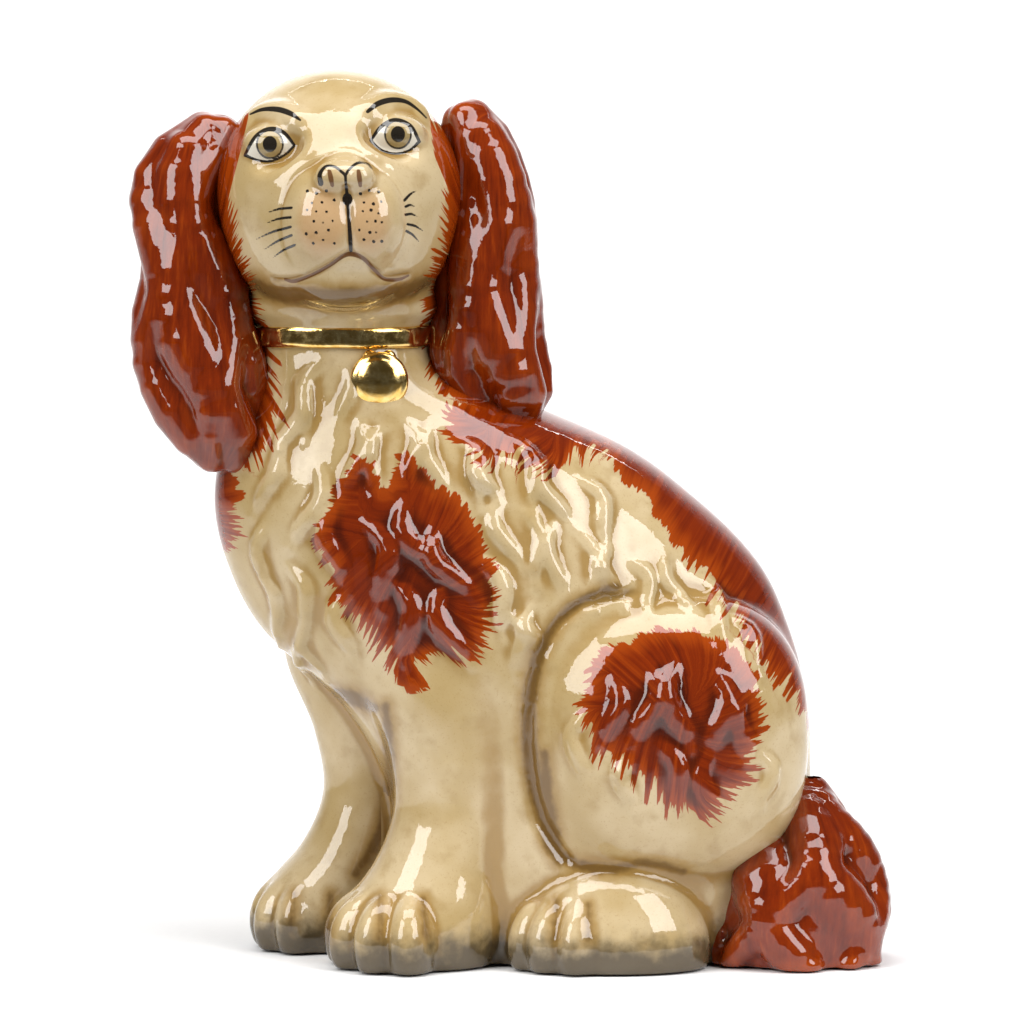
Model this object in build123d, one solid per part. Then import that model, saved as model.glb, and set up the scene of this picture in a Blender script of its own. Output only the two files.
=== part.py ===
"""Seated spaniel mantel figure: a hollow glazed-earthenware dog, put together from pressed parts.

The dog sits broadside on, chest towards -X and tail towards +X, with its head turned to face -Y.
+Z is up and the figure stands on Z = 0. All sizes are in millimetres.
Each node is one pressing as the potter lutes it to its neighbours with slip. The mould seam of the
body and of the head is the vertical plane that runs round the figure's outline.
"""
import os

from build123d import *

# ---- driving dimensions --------------------------------------------------------------------
figure_length = 261.6     # forepaws to tail
figure_depth = 127.0      # near haunch to far haunch
figure_height = 305.0     # base to crown

wall = 5.0                # thickness of every pressed clay wall
base_thickness = 5.0
seam_y = 0.0              # the vertical mould seam between the near and the far pressings

vent_d = 14.0             # firing vent through the base slab
vent_x = 30.0
air_hole_d = 4.0          # pricked through the body wall behind each hollow applied pressing
leg_air_hole_z = 50.0
tail_air_hole_z = 22.0

collar_height = 8.0
collar_stand_out = 2.2    # how far the moulded collar band stands proud of the neck
collar_edge_r = 1.92

locket_d = 19.8
locket_thickness = 6.0
locket_edge_r = 2.52
locket_side_step = 12.5   # from the neck's middle towards the tail
locket_stand_out = 1.68   # from the chest to the disc's middle plane
locket_gap = 0.15         # slip line between the collar and the top of the locket's shackle
shackle_wire = 2.6
shackle_span = 8.4
shackle_bite = 4.0        # how deep the shackle's legs run into the locket
shackle_stand_out = 0.78  # from the chest to the middle of the wire

smallest_half = 1.5       # half size below which a shrunk section never goes
probe_r = 0.2             # of the thin rod that finds where the chest's surface is
reach = 1000.0            # side of the cutting blocks, larger than any figure

# ---- the sculptor's master, whose sizes are stretched to the figure's --------------------------
MASTER = (261.6, 127.0, 305.0)
stretch_x, stretch_y, stretch_z = (
    size / master for size, master in zip((figure_length, figure_depth, figure_height), MASTER))


def sections(*rows):
    """Horizontal sections from rows of (height, centre x, centre y, half length in x, half depth in y)."""
    return [(z * stretch_z, cx * stretch_x, cy * stretch_y, hx * stretch_x, hy * stretch_y)
            for z, cx, cy, hx, hy in rows]


def mass(centre, half_sizes):
    """An ellipsoid's centre and half sizes."""
    stretch = (stretch_x, stretch_y, stretch_z)
    return (tuple(c * s for c, s in zip(centre, stretch)), tuple(h * s for h, s in zip(half_sizes, stretch)))


BODY = sections(
    (0, 30, 0, 66, 43),
    (24, 31, 0, 71, 47),
    (60, 30, 0, 73.5, 50),
    (88, 21, 0, 81, 51),
    (112, 5, 0, 91, 51),
    (136, -7, 0, 91.5, 49),
    (158, -20, 0, 82.5, 45),
    (176, -31, 0, 68.5, 40),
    (190, -44, 0, 50, 34),
    (202, -55, 0, 34, 29.5),
    (210, -57.5, 0, 31, 27.5))
RIGHT_EAR = sections(
    (168, -103, -12, 8, 7),
    (173, -104, -12, 14.5, 13),
    (181, -105, -12, 19.5, 17.5),
    (190, -105, -12, 21.5, 19),
    (204, -106.5, -11, 22.5, 19.5),
    (218, -108.5, -10, 21, 19),
    (232, -109, -9, 18.5, 18.5),
    (246, -111.5, -8, 17, 18),
    (260, -113.5, -7, 17.13, 17.5),
    (274, -112, -5, 14.5, 15),
    (284, -107, -3, 10.5, 11),
    (290, -103, -2, 6, 6))
LEFT_EAR = sections(
    (185.5, -1, -9, 8, 7),
    (189, -2.5, -9, 14, 13),
    (195, -4, -9, 18, 17),
    (204, -6.5, -9, 20.5, 18.5),
    (214, -8, -8.5, 20, 18.5),
    (226, -8.5, -7.5, 18.5, 18.5),
    (242, -7.5, -6, 15.5, 18),
    (256, -6.5, -5, 14.5, 17.5),
    (270, -8, -4, 13, 15.5),
    (281, -11.5, -3, 11, 12),
    (290, -16, -2, 7, 7))
LEFT_FORELEG = sections(
    (0, -36, -34, 29.5, 23.5),
    (9, -36.5, -34.5, 31.5, 25.5),
    (20, -34, -33, 30, 25),
    (34, -25, -29, 24, 22),
    (50, -20, -26, 21.5, 20),
    (72, -19, -25, 23, 21),
    (96, -23, -24, 29, 24),
    (120, -30, -21, 30, 24),
    (138, -33, -18, 18, 16))
RIGHT_FORELEG = sections(
    (0, -66, 10, 22.5, 21),
    (9, -66.5, 9.5, 24, 22.5),
    (22, -64, 11, 23.5, 22),
    (36, -56, 14, 18.5, 19),
    (52, -51, 16, 15.5, 18),
    (74, -51, 17, 18, 19),
    (98, -55, 17, 24, 22),
    (122, -58, 16, 26, 22),
    (138, -56, 14, 16, 14))
TAIL = sections(
    (0, 99, -12, 29, 25),
    (9, 99.5, -12, 31.3, 27.5),
    (22, 99, -11, 30.5, 27),
    (34, 99.5, -9, 25, 24),
    (44, 101, -6, 17, 18),
    (52, 102, -3, 9.5, 11),
    (57, 102.5, -1, 4, 5))



def ear_root(cx):
    """Sections of the lump of clay that joins an ear to the side of the head."""
    return sections(
        (240, cx, 6, 5, 5.5),
        (246, cx, 6, 9.5, 10),
        (255.5, cx, 6, 13, 14),
        (264, cx, 6, 14, 15),
        (272.5, cx, 6, 13, 14),
        (282, cx, 6, 9.5, 10),
        (288, cx, 6, 5, 5.5))


RIGHT_EAR_ROOT = ear_root(-99)
LEFT_EAR_ROOT = ear_root(-19.5)

neck_foot = BODY[-1]      # the head pressing starts on the rim of the body pressing
neck_foot_z, neck_x, _, neck_half_x, neck_half_y = neck_foot
above_collar, below_jaw = sections((218, -58, -1, 30.5, 27.5), (234, -58.5, -3, 33, 30))
NECK = [neck_foot, (neck_foot_z + collar_height, *above_collar[1:]), below_jaw]

CRANIUM = mass((-60, -2, 263), (41.5, 42, 42))
JAW = mass((-58, -17, 245), (33, 33, 23.5))
MUZZLE = mass((-56, -34, 251), (22, 24.5, 22))
LEFT_HAUNCH = mass((53, -26, 79), (51, 35, 50))
RIGHT_HAUNCH = mass((53, 26, 79), (50, 31, 49))
LEFT_HIND_PAW = mass((29, -42, 8), (37, 23, 27))
RIGHT_HIND_PAW = mass((29, 40, 8), (37, 22, 27))


# ---- shapes ----------------------------------------------------------------------------------
def column(rows, inset=0.0):
    """Smooth closed solid through horizontal elliptical sections; inset shrinks it on every side."""
    lowest, highest = rows[0][0], rows[-1][0]
    faces = []
    for height, cx, cy, half_x, half_y in rows:
        near_bottom = height != lowest and height - lowest < inset
        near_top = height != highest and highest - height < inset
        if near_bottom or near_top:
            continue
        z = min(max(height, lowest + inset), highest - inset)
        outline = Ellipse(max(half_x - inset, smallest_half), max(half_y - inset, smallest_half))
        faces.append(Pos(cx, cy, z) * outline)
    return loft(faces)


def bore(rows, below=0.0, above=0.0):
    """The hollow one wall inside an open-ended column, run on past its ends by the given lengths."""
    faces = []
    for i, (height, cx, cy, half_x, half_y) in enumerate(rows):
        z = height - below * (i == 0) + above * (i == len(rows) - 1)
        faces.append(Pos(cx, cy, z) * Ellipse(half_x - wall, half_y - wall))
    return loft(faces)


def ellipsoid(centre_and_halves, inset=0.0):
    centre, half_sizes = centre_and_halves
    return Pos(*centre) * scale(Sphere(1), by=tuple(size - inset for size in half_sizes))


def above_floor(shape):
    return shape & (Pos(0, 0, reach / 2) * Box(reach, reach, reach))


def beyond(shape, side):
    """The near (side = -1) or the far (side = 1) part of a shape, cut at the mould seam."""
    return shape & (Pos(0, seam_y + side * reach / 2, 0) * Box(reach, reach, reach))


def section_at(rows, height):
    """Centre x, centre y, half length and half depth of a column at a height."""
    for below, above in zip(rows, rows[1:]):
        if below[0] <= height <= above[0]:
            share = (height - below[0]) / (above[0] - below[0])
            return [a + share * (b - a) for a, b in zip(below[1:], above[1:])]


def air_hole(start, end):
    """Drill from the outside of a hollow pressing to the middle of the body's cavity."""
    along = Vector(*end) - Vector(*start)
    return Plane(origin=start, z_dir=along) * Cylinder(
        air_hole_d / 2, along.length, align=(Align.CENTER, Align.CENTER, Align.MIN))


# ---- body and head: the outer masses and the hollow inside them ----------------------------------
body_outer = column(BODY)
body_inner = bore(BODY, above=wall)
head_outer = ellipsoid(CRANIUM) + ellipsoid(JAW) + ellipsoid(MUZZLE) + column(NECK)
head_inner = ellipsoid(CRANIUM, wall) + ellipsoid(JAW, wall) + bore(NECK, below=wall)

parts = {}
parts["head_front"] = beyond(head_outer - head_inner, -1)
parts["head_back"] = beyond(head_outer - head_inner, 1)

# ---- collar band, and the padlock that hangs from it on the chest ----------------------------------
collar_outline = Ellipse(neck_half_x + collar_stand_out, neck_half_y + collar_stand_out)
collar_blank = Pos(neck_x, seam_y, neck_foot_z) * extrude(collar_outline, collar_height)
parts["collar"] = fillet(collar_blank.edges(), collar_edge_r) - head_outer - body_outer


def chest_surface_y(x, z):
    """The nearest y of the body's surface at a place on the chest."""
    probe = Pos(x, -reach / 2, z) * (Rotation(90, 0, 0) * Cylinder(probe_r, reach))
    return (probe & body_outer).bounding_box().min.Y


shackle_r = shackle_span / 2
shackle_z = neck_foot_z - locket_gap - shackle_wire / 2 - shackle_r
locket_x = neck_x + locket_side_step
locket_z = shackle_z - locket_d / 2 + shackle_bite

disc = Rotation(90, 0, 0) * Cylinder(locket_d / 2, locket_thickness)
locket_y = chest_surface_y(locket_x, locket_z) - locket_stand_out
parts["locket"] = Pos(locket_x, locket_y, locket_z) * fillet(disc.edges(), locket_edge_r) - body_outer

arch = Wire(Edge.make_circle(shackle_r, Plane.XZ, 0, 180))
wire_section = Plane(origin=arch @ 0, z_dir=arch % 0) * Circle(shackle_wire / 2)
shackle_y = chest_surface_y(locket_x, shackle_z) - shackle_stand_out
shackle = Pos(locket_x, shackle_y, shackle_z) * sweep(wire_section, arch)
parts["locket_shackle"] = shackle - parts["locket"] - body_outer - parts["collar"]

# ---- ears: hollow pressings luted to the sides of the head ------------------------------------------
for name, rows, root in (("right_ear", RIGHT_EAR, RIGHT_EAR_ROOT), ("left_ear", LEFT_EAR, LEFT_EAR_ROOT)):
    ear = column(rows) + column(root) - head_outer - body_outer - parts["collar"]
    parts[name] = ear - column(rows, wall)

# ---- limbs and tail: pressings luted to the outside of the body, all but the hind paws hollow ---------
left_haunch_outer = ellipsoid(LEFT_HAUNCH)
right_haunch_outer = ellipsoid(RIGHT_HAUNCH)
left_foreleg_outer = column(LEFT_FORELEG)
right_foreleg_outer = column(RIGHT_FORELEG)
tail_outer = column(TAIL)

parts["left_haunch"] = left_haunch_outer - body_outer - ellipsoid(LEFT_HAUNCH, wall)
parts["right_haunch"] = right_haunch_outer - body_outer - ellipsoid(RIGHT_HAUNCH, wall)
left_leg = left_foreleg_outer - body_outer - left_haunch_outer
parts["left_foreleg"] = left_leg - column(LEFT_FORELEG, wall)
right_leg = right_foreleg_outer - body_outer - left_foreleg_outer - right_haunch_outer
parts["right_foreleg"] = right_leg - column(RIGHT_FORELEG, wall)
parts["tail"] = tail_outer - body_outer - left_haunch_outer - column(TAIL, wall)
left_paw = above_floor(ellipsoid(LEFT_HIND_PAW)) - body_outer - left_haunch_outer
parts["left_hind_paw"] = left_paw - left_foreleg_outer - tail_outer
right_paw = above_floor(ellipsoid(RIGHT_HIND_PAW)) - body_outer - right_haunch_outer
parts["right_hind_paw"] = right_paw - right_foreleg_outer - tail_outer

# ---- body shell with its air holes, and the slab that closes it from below -----------------------------
air_holes = []
for (cx, cy, cz), (_, half_y, _) in (LEFT_HAUNCH, RIGHT_HAUNCH):
    outward = 1 if cy > seam_y else -1
    air_holes.append(air_hole((cx, cy + outward * half_y, cz), (cx, seam_y, cz)))
leg_x, leg_y, _, leg_half_y = section_at(LEFT_FORELEG, leg_air_hole_z)
air_holes.append(air_hole((leg_x, leg_y - leg_half_y, leg_air_hole_z), (leg_x, seam_y, leg_air_hole_z)))
leg_x, leg_y, leg_half_x, _ = section_at(RIGHT_FORELEG, leg_air_hole_z)
body_x = section_at(BODY, leg_air_hole_z)[0]
air_holes.append(air_hole((leg_x - leg_half_x, leg_y, leg_air_hole_z), (body_x, leg_y, leg_air_hole_z)))
tail_x, tail_y, tail_half_x, _ = section_at(TAIL, tail_air_hole_z)
body_x = section_at(BODY, tail_air_hole_z)[0]
air_holes.append(air_hole((tail_x + tail_half_x, tail_y, tail_air_hole_z), (body_x, tail_y, tail_air_hole_z)))

body_shell = body_outer - body_inner - head_outer
for hole in air_holes:
    body_shell -= hole
parts["body_front"] = beyond(body_shell, -1)
parts["body_back"] = beyond(body_shell, 1)

slab = Pos(0, 0, base_thickness / 2) * Box(reach, reach, base_thickness)
vent = Pos(vent_x, seam_y, base_thickness / 2) * Cylinder(vent_d / 2, 2 * base_thickness)
parts["base_slab"] = (body_inner & slab) - vent

# ---- write every pressing, with the frame's origin under the middle of the figure ---------------------
boxes = [part.bounding_box() for part in parts.values()]
low = [min(getattr(box.min, axis) for box in boxes) for axis in "XYZ"]
high = [max(getattr(box.max, axis) for box in boxes) for axis in "XYZ"]
to_origin = Pos(-(low[0] + high[0]) / 2, -(low[1] + high[1]) / 2, -low[2])
os.makedirs("parts", exist_ok=True)
for name, part in parts.items():
    placed = Compound([to_origin * solid for solid in part.solids()])
    print(name, "solids", len(part.solids()), "volume", round(part.volume), "valid", placed.is_valid)
    export_step(placed, f"parts/{name}.step")
print("moved by", to_origin.position, "clay", round(sum(p.volume for p in parts.values()) / 1000), "cm3")
print("size", [round(b - a, 2) for a, b in zip(low, high)])
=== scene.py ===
"""Looks of the seated spaniel figure: glazed earthenware sculpted as distance fields round the CAD pressings.

The surface of the clay is the zero level of a field of signed distances in millimetres, built by blending
simple masses together. It is turned into quads and smoothed. The trunk and the head are then cut into the
same pressings as the CAD model, each a shell with a real wall; the ears, the tail and the gilded pieces are
solid. Brushwork, gilding and glaze come from node materials that read smooth distances kept on the vertices.
"""
import math

import bpy
import numpy as np
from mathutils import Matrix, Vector


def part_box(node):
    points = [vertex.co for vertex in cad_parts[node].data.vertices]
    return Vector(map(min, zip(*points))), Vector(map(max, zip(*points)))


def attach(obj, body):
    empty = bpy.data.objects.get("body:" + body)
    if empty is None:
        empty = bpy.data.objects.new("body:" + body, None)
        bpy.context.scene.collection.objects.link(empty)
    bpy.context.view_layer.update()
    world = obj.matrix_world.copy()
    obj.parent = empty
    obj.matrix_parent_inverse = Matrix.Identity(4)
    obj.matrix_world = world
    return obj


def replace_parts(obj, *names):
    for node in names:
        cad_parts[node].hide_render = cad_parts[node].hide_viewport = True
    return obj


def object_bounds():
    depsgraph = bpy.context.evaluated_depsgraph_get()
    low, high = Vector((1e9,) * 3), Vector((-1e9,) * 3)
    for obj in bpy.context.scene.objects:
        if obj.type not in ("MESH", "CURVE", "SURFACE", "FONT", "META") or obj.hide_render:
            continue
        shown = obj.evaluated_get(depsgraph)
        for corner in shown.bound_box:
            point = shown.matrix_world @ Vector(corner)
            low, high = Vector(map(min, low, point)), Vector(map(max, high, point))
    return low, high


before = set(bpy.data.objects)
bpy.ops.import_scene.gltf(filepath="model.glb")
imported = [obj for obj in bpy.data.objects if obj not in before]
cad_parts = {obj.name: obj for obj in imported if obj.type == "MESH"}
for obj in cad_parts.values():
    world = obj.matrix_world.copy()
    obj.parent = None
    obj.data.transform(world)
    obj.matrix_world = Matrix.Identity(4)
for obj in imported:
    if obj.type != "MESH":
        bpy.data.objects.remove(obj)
cad_low, cad_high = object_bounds()

MM = 0.001                      # metres in a millimetre
FIGURE_HEIGHT = 305.0           # millimetres that the sculpted sizes below belong to
unit = (cad_high.z - cad_low.z) / MM / FIGURE_HEIGHT
BODY_STEP, HEAD_STEP, GILT_STEP = 1.2, 0.6, 0.4
FAR = 60.0                      # distance given to places that no mass reaches
WALL = 4.0                      # millimetres of clay in a sculpted shell


def middle_of(*nodes):
    """Centre of the box round some CAD nodes, in millimetres."""
    corners = [np.array(c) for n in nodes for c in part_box(n)]
    return (np.min(corners, 0) + np.max(corners, 0)) / 2 / MM


# ---- distance fields ---------------------------------------------------------------------------
class Field:
    """Signed distances on a regular grid; negative is clay."""

    def __init__(self, low, high, step):
        self.low = np.array(low, float)
        self.step = step
        counts = np.ceil((np.array(high) - self.low) / step).astype(int) + 1
        self.d = np.full(counts, FAR, np.float32)

    def window(self, low, high):
        """The part of the grid between two corners, and its places along each axis."""
        first = np.maximum(np.floor((low - self.low) / self.step).astype(int), 0)
        last = np.minimum(np.ceil((high - self.low) / self.step).astype(int) + 1, self.d.shape)
        last = np.maximum(last, first)
        axes = [(self.low[i] + self.step * np.arange(first[i], last[i])).astype(np.float32) for i in range(3)]
        x, y, z = axes[0][:, None, None], axes[1][None, :, None], axes[2][None, None, :]
        return tuple(slice(a, b) for a, b in zip(first, last)), x, y, z

    def add(self, mass, blend=0.0):
        low, high, distance = mass
        margin = blend + 3 * self.step
        part, x, y, z = self.window(low - margin, high + margin)
        self.d[part] = soft_min(self.d[part], distance(x, y, z), blend)

    def cut(self, mass, blend=0.0):
        low, high, distance = mass
        margin = blend + 3 * self.step
        part, x, y, z = self.window(low - margin, high + margin)
        self.d[part] = -soft_min(-self.d[part], distance(x, y, z), blend)

    def keep_above(self, height, blend=0.0):
        z = (self.low[2] + self.step * np.arange(self.d.shape[2])).astype(np.float32)[None, None, :]
        self.d = -soft_min(-self.d, z - height + np.zeros_like(self.d), blend)

    def keep_below(self, height, blend=0.0):
        z = (self.low[2] + self.step * np.arange(self.d.shape[2])).astype(np.float32)[None, None, :]
        self.d = -soft_min(-self.d, height - z + np.zeros_like(self.d), blend)

    def depth(self, x, z, side):
        """The y of the surface seen from the near (-1) or far (1) side at a place, or None."""
        i, k = (int(round((place - self.low[axis]) / self.step)) for place, axis in ((x, 0), (z, 2)))
        i = min(max(i, 0), self.d.shape[0] - 1)
        k = min(max(k, 0), self.d.shape[2] - 1)
        line = self.d[i, :, k] if side < 0 else self.d[i, ::-1, k]
        inside = np.nonzero(line < 0)[0]
        if not len(inside):
            return None
        j = max(inside[0], 1)
        share = line[j - 1] / (line[j - 1] - line[j])
        steps = j - 1 + share
        if side < 0:
            return self.low[1] + self.step * steps
        return self.low[1] + self.step * (self.d.shape[1] - 1 - steps)


def soft_min(a, b, blend):
    """The smaller distance, rounded where the two are within blend of each other."""
    if blend <= 0:
        return np.minimum(a, b)
    overlap = np.maximum(blend - np.abs(a - b), 0) / blend
    return np.minimum(a, b) - overlap * overlap * blend / 4


def turn_about(axis, degrees):
    c, s = math.cos(math.radians(degrees)), math.sin(math.radians(degrees))
    return {"x": np.array([[1, 0, 0], [0, c, -s], [0, s, c]]),
            "y": np.array([[c, 0, s], [0, 1, 0], [-s, 0, c]]),
            "z": np.array([[c, -s, 0], [s, c, 0], [0, 0, 1]])}[axis]


def ellipsoid(centre, half, turn=None):
    centre, half = np.array(centre, float), np.array(half, float)
    reach = np.full(3, half.max()) if turn is not None else half
    back = None if turn is None else turn.T

    def distance(x, y, z):
        p = [x - centre[0], y - centre[1], z - centre[2]]
        if back is not None:
            p = [sum(back[i][j] * p[j] for j in range(3)) for i in range(3)]
        k0 = np.sqrt(sum((q / h) ** 2 for q, h in zip(p, half)))
        k1 = np.sqrt(sum((q / h ** 2) ** 2 for q, h in zip(p, half)))
        return k0 * (k0 - 1) / np.maximum(k1, 1e-6)

    return centre - reach, centre + reach, distance


def fuller(centre, half, power):
    """An ellipsoid whose sides bulge more than a plain one's."""
    centre, half = np.array(centre, float), np.array(half, float)

    def distance(x, y, z):
        p = [np.abs(v - c) / h for v, c, h in zip((x, y, z), centre, half)]
        reached = sum(q ** power for q in p) ** (1 / power)
        return ((reached - 1) * float(half.min()) * 0.9).astype(np.float32)

    return centre - half, centre + half, distance


def hoop(low, high, thickness, waver):
    """A band with rounded edges round an upright elliptical box; its edges waver by a little."""
    low, high = np.array(low, float), np.array(high, float)
    centre, half = (low + high) / 2, (high - low) / 2
    round_off = half[2] * 0.42

    def distance(x, y, z):
        px, py = x - centre[0], y - centre[1]
        k0 = np.sqrt((px / half[0]) ** 2 + (py / half[1]) ** 2)
        k1 = np.sqrt((px / half[0] ** 2) ** 2 + (py / half[1] ** 2) ** 2)
        out = k0 * (k0 - 1) / np.maximum(k1, 1e-6)
        around = np.arctan2(py, px)
        height = z - centre[2] - waver * np.sin(3 * around + 1.0) - 0.5 * waver * np.sin(11 * around)
        a = np.maximum(out + round_off, 0)
        b = np.maximum(np.abs(height) - half[2] + round_off + waver, 0)
        return np.maximum(np.hypot(a, b) - round_off, -(out + thickness)).astype(np.float32)

    return low, high, distance


def column(sections):
    """Smooth upright mass through sections (height, centre x, centre y, half x, half y)."""
    rows = np.array(sections, float)
    low = np.array([(rows[:, 1] - rows[:, 3]).min(), (rows[:, 2] - rows[:, 4]).min(), rows[0, 0]])
    high = np.array([(rows[:, 1] + rows[:, 3]).max(), (rows[:, 2] + rows[:, 4]).max(), rows[-1, 0]])

    def distance(x, y, z):
        cx, cy, rx, ry = (smooth_curve(rows[:, 0], rows[:, i], z) for i in range(1, 5))
        k0 = np.sqrt(((x - cx) / rx) ** 2 + ((y - cy) / ry) ** 2)
        k1 = np.sqrt(((x - cx) / rx ** 2) ** 2 + ((y - cy) / ry ** 2) ** 2)
        side = k0 * (k0 - 1) / np.maximum(k1, 1e-6)
        ends = np.maximum(rows[0, 0] - z, z - rows[-1, 0])
        return np.maximum(side, ends).astype(np.float32)

    return low, high, distance


def smooth_curve(at, values, wanted):
    """Cubic interpolation through rising places, level outside them."""
    wanted = np.clip(wanted, at[0], at[-1])
    slopes = np.gradient(values, at)
    i = np.clip(np.searchsorted(at, wanted, "right") - 1, 0, len(at) - 2)
    gap = at[i + 1] - at[i]
    t = (wanted - at[i]) / gap
    a, b = values[i], values[i + 1]
    ma, mb = slopes[i] * gap, slopes[i + 1] * gap
    return ((2 * t**3 - 3 * t**2 + 1) * a + (t**3 - 2 * t**2 + t) * ma
            + (3 * t**2 - 2 * t**3) * b + (t**3 - t**2) * mb)


def through(points, count):
    """Evenly numbered points on a smooth curve through the given ones, which may carry radii."""
    rows = np.array(points, float)
    steps = np.linspace(0, len(rows) - 1, count)
    places = np.arange(len(rows), dtype=float)
    return np.stack([smooth_curve(places, rows[:, i], steps) for i in range(rows.shape[1])], 1)


def strand(points):
    """A rounded rope along points (x, y, z, radius)."""
    rows = np.array(points, float)
    low = (rows[:, :3] - rows[:, 3:]).min(0)
    high = (rows[:, :3] + rows[:, 3:]).max(0)

    def distance(x, y, z):
        best = None
        for a, b in zip(rows[:-1], rows[1:]):
            along = b[:3] - a[:3]
            length2 = max(float(along @ along), 1e-9)
            px, py, pz = x - a[0], y - a[1], z - a[2]
            t = np.clip((px * along[0] + py * along[1] + pz * along[2]) / length2, 0, 1)
            away = np.sqrt((px - t * along[0]) ** 2 + (py - t * along[1]) ** 2 + (pz - t * along[2]) ** 2)
            d = away - (a[3] + t * (b[3] - a[3]))
            best = d if best is None else np.minimum(best, d)
        return best.astype(np.float32)

    return low, high, distance


# ---- from field to mesh ------------------------------------------------------------------------
CORNERS = [(i, j, k) for i in (0, 1) for j in (0, 1) for k in (0, 1)]
EDGES = [(a, b) for a in range(8) for b in range(a + 1, 8)
         if sum(abs(p - q) for p, q in zip(CORNERS[a], CORNERS[b])) == 1]


def skin(field):
    """Quads round the zero level of a field, one vertex in each cell that it crosses."""
    d = field.d
    clay = d < 0
    size = np.array(d.shape) - 1
    count = sum(clay[i:i + size[0], j:j + size[1], k:k + size[2]].astype(np.int8) for i, j, k in CORNERS)
    cells = np.argwhere((count > 0) & (count < 8))
    number = np.full(size, -1, np.int64)
    number[tuple(cells.T)] = np.arange(len(cells))
    corner = [d[cells[:, 0] + i, cells[:, 1] + j, cells[:, 2] + k] for i, j, k in CORNERS]
    total, hits = np.zeros((len(cells), 3)), np.zeros(len(cells))
    for a, b in EDGES:
        crosses = (corner[a] < 0) != (corner[b] < 0)
        share = np.where(crosses, corner[a] / np.where(crosses, corner[a] - corner[b], 1), 0)
        start, along = np.array(CORNERS[a], float), np.array(CORNERS[b], float) - CORNERS[a]
        total += crosses[:, None] * (start + share[:, None] * along)
        hits += crosses
    points = field.low + field.step * (cells + total / hits[:, None])
    quads = []
    for axis in range(3):
        u, v = (axis + 1) % 3, (axis + 2) % 3
        one = [slice(None)] * 3
        two = [slice(None)] * 3
        one[axis], two[axis] = slice(None, -1), slice(1, None)
        changes = clay[tuple(one)] != clay[tuple(two)]
        places = np.argwhere(changes)
        places = places[np.all((places[:, [u, v]] > 0) & (places[:, [u, v]] < size[[u, v]]), 1)]
        around = []
        for du, dv in ((1, 1), (0, 1), (0, 0), (1, 0)):
            at = places.copy()
            at[:, u] -= du
            at[:, v] -= dv
            around.append(number[tuple(at.T)])
        quad = np.stack(around, 1)
        outward = clay[tuple(places.T)]
        quad[~outward] = quad[~outward][:, ::-1]
        quads.append(quad)
    quads = np.concatenate(quads)
    return points, quads[(quads >= 0).all(1)]


def neighbours(quads):
    pairs = np.concatenate([quads[:, [i, (i + 1) % 4]] for i in range(4)])
    pairs = np.unique(np.sort(pairs, 1), axis=0)
    return pairs[:, 0], pairs[:, 1]


def average_round(values, links, count):
    """Mean of each vertex's neighbours."""
    a, b = links
    degree = np.bincount(a, minlength=count) + np.bincount(b, minlength=count)
    columns = [values] if values.ndim == 1 else list(values.T)
    means = [(np.bincount(a, c[b], count) + np.bincount(b, c[a], count)) / np.maximum(degree, 1)
             for c in columns]
    return means[0] if values.ndim == 1 else np.stack(means, 1)


def relax(points, links, rounds, pull=0.5, push=-0.52):
    """Smoothing that keeps the volume."""
    for _ in range(rounds):
        for share in (pull, push):
            points = points + share * (average_round(points, links, len(points)) - points)
    return points


def vertex_normals(points, quads):
    a, b, c, e = (points[quads[:, i]] for i in range(4))
    face = np.cross(c - a, e - b)
    total = np.stack([sum(np.bincount(quads[:, i], face[:, k], len(points)) for i in range(4))
                      for k in range(3)], 1)
    return total / np.maximum(np.linalg.norm(total, axis=1, keepdims=True), 1e-9), face


# ---- the trunk: body, legs, haunches and paws, one skin ------------------------------------------
trunk = middle_of("body_front", "body_back")
TRUNK_X, SEAM_Y = trunk[0], trunk[1]
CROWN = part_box("head_front")[1].z / MM
COLLAR_LOW, COLLAR_HIGH = (np.array(corner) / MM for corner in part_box("collar"))
# the place between the eyes' level and the muzzle that the face is measured from
head = np.array([middle_of("head_front", "head_back")[0], SEAM_Y - 9.25 * unit, CROWN - 49.25 * unit])
VIEW_TILT = math.radians(4.5)


def drawn(points):
    """Where points appear in the plane the painter works in: across, and up with a slight tilt."""
    up = points[:, 2] * math.cos(VIEW_TILT) - np.abs(points[:, 1] - SEAM_Y) * math.sin(VIEW_TILT)
    return np.stack([points[:, 0], up], 1)


FACE = drawn(head[None])[0]


def from_trunk(rows):
    """Sections measured from the trunk's upright axis, set in the frame."""
    return [(z * unit, TRUNK_X + cx * unit, SEAM_Y + cy * unit, hx * unit, hy * unit)
            for z, cx, cy, hx, hy in rows]


def spot(x, y, z):
    """A place measured from the foot of the trunk's axis, set in the frame."""
    return np.array([TRUNK_X + x * unit, SEAM_Y + y * unit, z * unit])


def face_spot(x, y, z):
    """A place measured from the head's middle, set in the frame."""
    return head + np.array([x, y, z]) * unit


def shown_at(clay, x, up):
    """The near place on the clay that the painter sees at (x, up) from the face's middle."""
    y = head[1] - 35 * unit
    for _ in range(4):
        z = (FACE[1] + up * unit + abs(y - SEAM_Y) * math.sin(VIEW_TILT)) / math.cos(VIEW_TILT)
        found = clay.depth(head[0] + x * unit, z, -1)
        y = y if found is None else found
    return np.array([head[0] + x * unit, y, z])


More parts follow.
